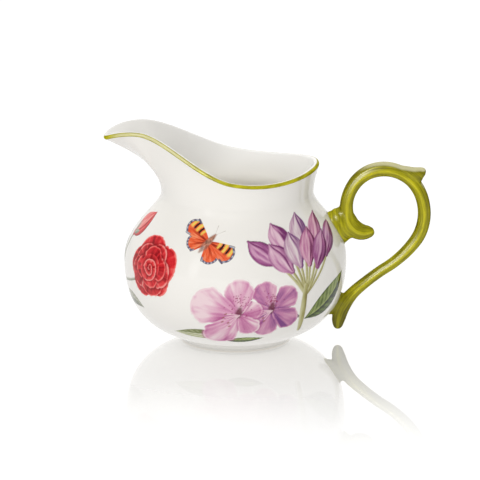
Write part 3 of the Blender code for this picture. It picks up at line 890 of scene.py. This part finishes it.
class Look:
    """The node tree of a new material or world, with short ways to add nodes and wires."""

    def __init__(self, owner):
        owner.use_nodes = True
        self.owner = owner
        self.tree = owner.node_tree
        self.surface = self.tree.nodes.get("Principled BSDF") or self.tree.nodes["Background"]

    def node(self, kind, inputs=None, **settings):
        made = self.tree.nodes.new(kind)
        for name, value in settings.items():
            setattr(made, name, value)
        for name, value in (inputs or {}).items():
            self.wire(value, made.inputs[name])
        return made

    def wire(self, value, socket):
        if isinstance(value, bpy.types.NodeSocket):
            self.tree.links.new(value, socket)
        else:
            socket.default_value = value

    def set(self, **inputs):
        for name, value in inputs.items():
            self.wire(value, self.surface.inputs[name.replace("_", " ")])

    def math(self, operation, a, b=0.0, c=0.0):
        return self.node("ShaderNodeMath", {0: a, 1: b, 2: c}, operation=operation).outputs[0]

    def times(self, a, b, plus=0.0):
        return self.math("MULTIPLY_ADD", a, b, plus)

    def mix(self, share, a, b, blend="MIX"):
        """Two colours mixed: the inputs 6 and 7 and the output 2 are the ones for colours."""
        made = self.node("ShaderNodeMix", {0: share, 6: a, 7: b}, data_type="RGBA", blend_type=blend)
        return made.outputs[2]

    def noise(self, vector, scale, detail=3.0, roughness=0.5):
        settings = {"Vector": vector, "Scale": scale, "Detail": detail, "Roughness": roughness}
        return self.node("ShaderNodeTexNoise", settings).outputs["Fac"]

    def attribute(self, name):
        return self.node("ShaderNodeAttribute", attribute_name=name).outputs["Fac"]

    def place(self):
        """Object coordinates in millimetres."""
        where = self.node("ShaderNodeTexCoord").outputs["Object"]
        return self.node("ShaderNodeVectorMath", {0: where, "Scale": 1 / MM}, operation="SCALE").outputs[0]

    def axis(self, vector, name):
        return self.node("ShaderNodeSeparateXYZ", {"Vector": vector}).outputs[name]

    def ray(self, name):
        return self.node("ShaderNodeLightPath").outputs[name]

    def streaks(self, along, across, scales):
        """Noise that is long along the form and narrow across it."""
        x, y = self.times(along, scales[0]), self.times(across, scales[1])
        stretched = self.node("ShaderNodeCombineXYZ", {"X": x, "Y": y}).outputs[0]
        return self.noise(stretched, 1.0, 4.0, 0.6)

    def ranged(self, value, source, target=(0, 1)):
        """A value turned smoothly from one range into another."""
        ends = dict(zip(("From Min", "From Max", "To Min", "To Max"), (*source, *target)))
        made = self.node("ShaderNodeMapRange", {"Value": value, **ends}, interpolation_type="SMOOTHSTEP")
        return made.outputs["Result"]

    def mirrored(self, share):
        """The share where a surface is seen only in the floor's mirror image, where its colour is painted
        paler: a painted reflection that keeps the shape but hardly any colour.
        """
        return self.times(self.math("MINIMUM", self.ray("Transparent Depth"), 1.0), share)

    def bump(self, height, distance):
        return self.node("ShaderNodeBump", {"Height": height, "Distance": distance * MM}).outputs["Normal"]


CHINA_WHITE = (0.818, 0.800, 0.763, 1)
CHINA_WARM = (0.796, 0.768, 0.710, 1)
# Painted light and shade on the inside: brighter than the outer china, warmer low in the bowl, darker in the
# spout
INSIDE_PAINTED_LIGHT = (0.955, 0.945, 0.920, 1)
SPOUT_PAINTED_SHADE = (0.790, 0.775, 0.740, 1)
INSIDE_PAINTED_WARM_SHADE = (0.965, 0.940, 0.872, 1)
FOOT_BARE = 0.32


def glazed_china(name):
    """(look, place, colour, roughness) of glazed china, the same on the vessel and round the prints."""
    look = Look(bpy.data.materials.new(name))
    where = look.place()
    clouds = look.noise(where, 0.035, 2)
    colour = look.mix(look.times(clouds, 0.35), CHINA_WHITE, CHINA_WARM)
    roughness = look.times(look.noise(where, 0.12, 2), 0.05, 0.085)
    look.set(Roughness=roughness, Normal=look.bump(look.noise(where, 0.45, 2), 0.012))
    return look, where, colour, roughness


def porcelain_material():
    """The vessel's glazed china, with a bare, grainy foot; inside, painted light makes it brighter, with
    painted warm shade low in the bowl and painted shade in the spout.
    """
    look, where, colour, roughness = glazed_china("bone_china")
    height = look.axis(where, "Z")
    bare = look.math("LESS_THAN", height, FOOT_BARE)
    biscuit = look.mix(look.noise(where, 5, 4), (0.74, 0.70, 0.63, 1), (0.62, 0.57, 0.49, 1))
    # Painted light inside: painted warm shade low in the bowl, brighter higher up, and painted shade towards
    # the spout
    inside = look.mix(look.ranged(height, (52, 72)), INSIDE_PAINTED_WARM_SHADE, INSIDE_PAINTED_LIGHT)
    in_spout = look.ranged(look.axis(where, "X"), (-25, -55), (0, 0.8))
    colour = look.mix(look.attribute("inside"), colour, look.mix(in_spout, inside, SPOUT_PAINTED_SHADE))
    look.set(Base_Color=look.mix(bare, colour, biscuit))
    look.set(Roughness=look.times(bare, 0.5, roughness))
    return look.owner


def slip_material():
    """Slip under the glaze, with the handle's green pooled thinly over it."""
    look, where, colour, _ = glazed_china("glazed_slip")
    wash = look.times(look.noise(where, 0.5, 3), 0.5, 0.45)
    look.set(Base_Color=look.mix(wash, colour, (0.26, 0.24, 0.05, 1)))
    return look.owner


def print_material():
    """Enamel inks fired into the glaze: the china shows through them, with a fine grain in the ink."""
    look, where, colour, _ = glazed_china("print_inks")
    inks = look.node("ShaderNodeAttribute", attribute_name="ink").outputs["Color"]
    # Painted reflection: in the floor's mirror image the inks are painted nearly white
    inks = look.mix(look.mirrored(0.85), inks, (1, 1, 1, 1))
    grain = look.times(look.noise(where, 3.2, 3), 0.5, 0.67)
    printed = look.node("ShaderNodeGamma", {"Color": inks, "Gamma": grain}).outputs["Color"]
    bare = look.node("ShaderNodeSeparateColor", {"Color": inks}).outputs["Green"]
    look.set(Base_Color=look.mix(1, colour, printed, "MULTIPLY"))
    look.set(Specular_IOR_Level=look.ranged(bare, (0.5, 1), (0.2, 0.5)))
    return look.owner


ENAMEL_STOPS = (
    (0.34, (0.115, 0.104, 0.002, 1)), (0.48, (0.245, 0.225, 0.002, 1)),
    (0.60, (0.365, 0.335, 0.004, 1)), (0.74, (0.54, 0.49, 0.012, 1)),
)
# Pale enamel: the lip line's worn crest and wash, and the painted sheen on the handle's upward faces
ENAMEL_THIN_AND_SHEEN = (0.68, 0.65, 0.39, 1)
ENAMEL_PAINTED_IN_MIRROR = (0.55, 0.54, 0.50, 1)


def enamel_colour(look, tone):
    """The olive green from dark to light along the tone."""
    made = look.node("ShaderNodeValToRGB", {"Fac": tone})
    elements = made.color_ramp.elements
    while len(elements) < len(ENAMEL_STOPS):
        elements.new(0.5)
    for element, (position, colour) in zip(elements, ENAMEL_STOPS):
        element.position = position
        element.color = colour
    return made.outputs["Color"]


def line_brushing(look, where, across):
    """(shade, thinness) of the lip line: dark borders, a worn crest, and a pale wash under the spout."""
    off_middle = look.math("ABSOLUTE", across)
    shade = look.times(look.math("POWER", off_middle, 4), -0.2, 0.1)
    x = look.axis(where, "X")
    crest = look.ranged(across, (0.35, 1), (0, 0.62))
    crest = look.times(crest, look.ranged(x, (-45, -25)))
    middle = look.ranged(off_middle, (0.8, 0.25))
    wash = look.times(middle, look.ranged(x, (-25, -40), (0, 0.7)))
    wash = look.times(wash, look.ranged(x, (-66, -60)))
    return shade, look.math("MAXIMUM", crest, wash)


def enamel_material(name, painted_line):
    """Hand-painted olive green: brush streaks, darker in grooves from pooled enamel, with painted shade,
    highlight and sheen on the handle.
    """
    look = Look(bpy.data.materials.new(name))
    where = look.place()
    along, across = look.attribute("along"), look.attribute("across")
    streaks = look.streaks(along, across, (60, 1.2) if painted_line else (13, 5))
    bristles = look.streaks(along, across, (150, 4) if painted_line else (24, 19))
    tone = look.times(streaks, 0.62, look.times(bristles, 0.26))
    tone = look.times(look.noise(where, 0.16, 2), 0.2, tone)
    if painted_line:
        shade, thin_and_sheen = line_brushing(look, where, across)
    else:
        # On the handle the shade value holds painted shade and a painted highlight, and the pale value a
        # painted sheen on its upward faces
        shade, thin_and_sheen = look.attribute("shade"), look.times(look.attribute("thin_and_sheen"), 0.8)
    colour = look.mix(thin_and_sheen, enamel_colour(look, look.math("ADD", shade, tone)), ENAMEL_THIN_AND_SHEEN)
    # Painted reflection: in the floor's mirror image the green is painted grey
    colour = look.mix(look.mirrored(0.6), colour, ENAMEL_PAINTED_IN_MIRROR)
    grazing = look.node("ShaderNodeLayerWeight", {"Blend": 0.5}).outputs["Facing"]
    glaze = look.ranged(grazing, (0.15, 0.6), (0.55, 0.05))
    look.set(Base_Color=colour, Roughness=0.4, Specular_IOR_Level=0.0, Coat_Weight=glaze, Coat_Roughness=0.3)
    look.set(Normal=look.bump(streaks, 0.005))
    return look.owner


# ---- the studio ----

FLOOR_REACH = 4000.0
FLOOR_MIRROR = 0.78
# The distances in mm from the jug at which the mirror image is gone and at which it is full
MIRROR_FADE = (230, 12)


def build_floor():
    """A white acrylic sheet: it mirrors the jug, less and less away from it."""
    corners = [(x * FLOOR_REACH, y * FLOOR_REACH, 0) for x, y in ((-1, -1), (1, -1), (1, 1), (-1, 1))]
    floor = mesh_object("floor", corners, [(0, 1, 2, 3)])
    look = Look(bpy.data.materials.new("floor_white"))
    reach = look.node("ShaderNodeVectorMath", {0: look.place()}, operation="LENGTH").outputs["Value"]
    fade = look.math("POWER", look.ranged(reach, MIRROR_FADE), 1.4)
    seen = look.ray("Is Camera Ray")
    mirror = look.times(look.times(fade, FLOOR_MIRROR), seen)
    look.set(Base_Color=(0.3, 0.3, 0.3, 1), Roughness=1.0, Specular_IOR_Level=0.0)
    look.set(Emission_Color=(1, 1, 1, 1), Emission_Strength=look.times(seen, 0.12, 0.68))
    incoming = look.node("ShaderNodeNewGeometry").outputs["Incoming"]
    upward = look.node("ShaderNodeVectorMath", {0: incoming, 1: (-1, -1, 1)}, operation="MULTIPLY")
    image = look.node("ShaderNodeBsdfRayPortal", {"Color": (1, 1, 1, 1), "Direction": upward.outputs[0]})
    blend = look.node("ShaderNodeMixShader", {0: mirror, 1: look.surface.outputs[0], 2: image.outputs[0]})
    look.wire(blend.outputs[0], look.tree.nodes["Material Output"].inputs["Surface"])
    floor.data.materials.append(look.owner)


TENT_LEVEL = 0.34
WALL_LEVEL = 1.05
TENT_WHITE = (1.0, 0.985, 0.96, 1)

# Name, direction from the jug, distance, width and height in metres, power, and whether the glaze mirrors it
SOFTBOXES = (
    ("softbox_left", (-0.66, -0.68, 0.32), 1.2, (0.2, 0.9), 0.7, True),
    ("softbox_front", (-0.25, -1.0, 0.9), 1.2, (0.6, 0.6), 8.4, False),
    ("softbox_back", (0.1, 1.0, 0.8), 1.3, (1.0, 1.0), 3.5, False),
)
HANDLE_STRIP = ("strip_on_handle", (-0.5, -0.75, 0.55), 1.0, (0.35, 0.9), 20.0, True)


def softbox(name, direction, distance, size, power, mirrored):
    """A softbox that faces the jug from a direction."""
    data = bpy.data.lights.new(name, "AREA")
    data.shape = "RECTANGLE"
    data.size, data.size_y = size
    data.energy = power
    light = placed(name, data)
    direction = Vector(direction).normalized()
    light.location = Vector(to_frame((0, 0, 45))) + direction * distance
    light.rotation_euler = direction.to_track_quat("Z", "Y").to_euler()
    light.visible_glossy = mirrored
    return light


def build_light(strip_lit):
    """A pale tent with a white wall behind the jug, softboxes, and a strip that only lights strip_lit."""
    look = Look(bpy.data.worlds.new("studio"))
    bpy.context.scene.world = look.owner
    direction = look.node("ShaderNodeTexCoord").outputs["Generated"]
    wall = look.ranged(look.axis(direction, "Y"), (0.1, 0.7), (TENT_LEVEL, WALL_LEVEL))
    look.set(Color=TENT_WHITE, Strength=look.math("MAXIMUM", look.ray("Is Camera Ray"), wall))
    for settings in SOFTBOXES:
        softbox(*settings)
    strip = softbox(*HANDLE_STRIP)
    strip.visible_diffuse = False
    lit = bpy.data.collections.new("lit_by_strip")
    for obj in strip_lit:
        lit.objects.link(obj)
    strip.light_linking.receiver_collection = lit


def build_camera():
    """A long lens from a low front angle, as a small product is photographed."""
    elevation, distance = math.radians(14.7), 2.0
    target = Vector(to_frame((1.9, 0, 41.7)))
    data = bpy.data.cameras.new("camera")
    data.lens = 362.0
    camera = placed("camera", data)
    camera.location = target + Vector((0, -math.cos(elevation), math.sin(elevation))) * distance
    camera.rotation_euler = (math.radians(90) - elevation, 0, 0)
    bpy.context.scene.camera = camera


lip_line = build_lip_line(*build_vessel())
handle = build_handle()
build_prints("rhododendron", SIDES, (-75, 26), (-138, -13), (5.0, 60.0), 0.28, paint_spray)
build_prints("rose", SIDES[:1], (-145, 34), (-196, -122.5), (8.5, 60.5), 0.22, paint_rose)
build_prints("butterfly", SIDES, (-106, 51), (-127, -86.5), (41.5, 59.5), 0.12, paint_butterfly)
build_floor()
build_light((lip_line, handle))
build_camera()
bpy.context.scene.view_settings.view_transform = "Standard"
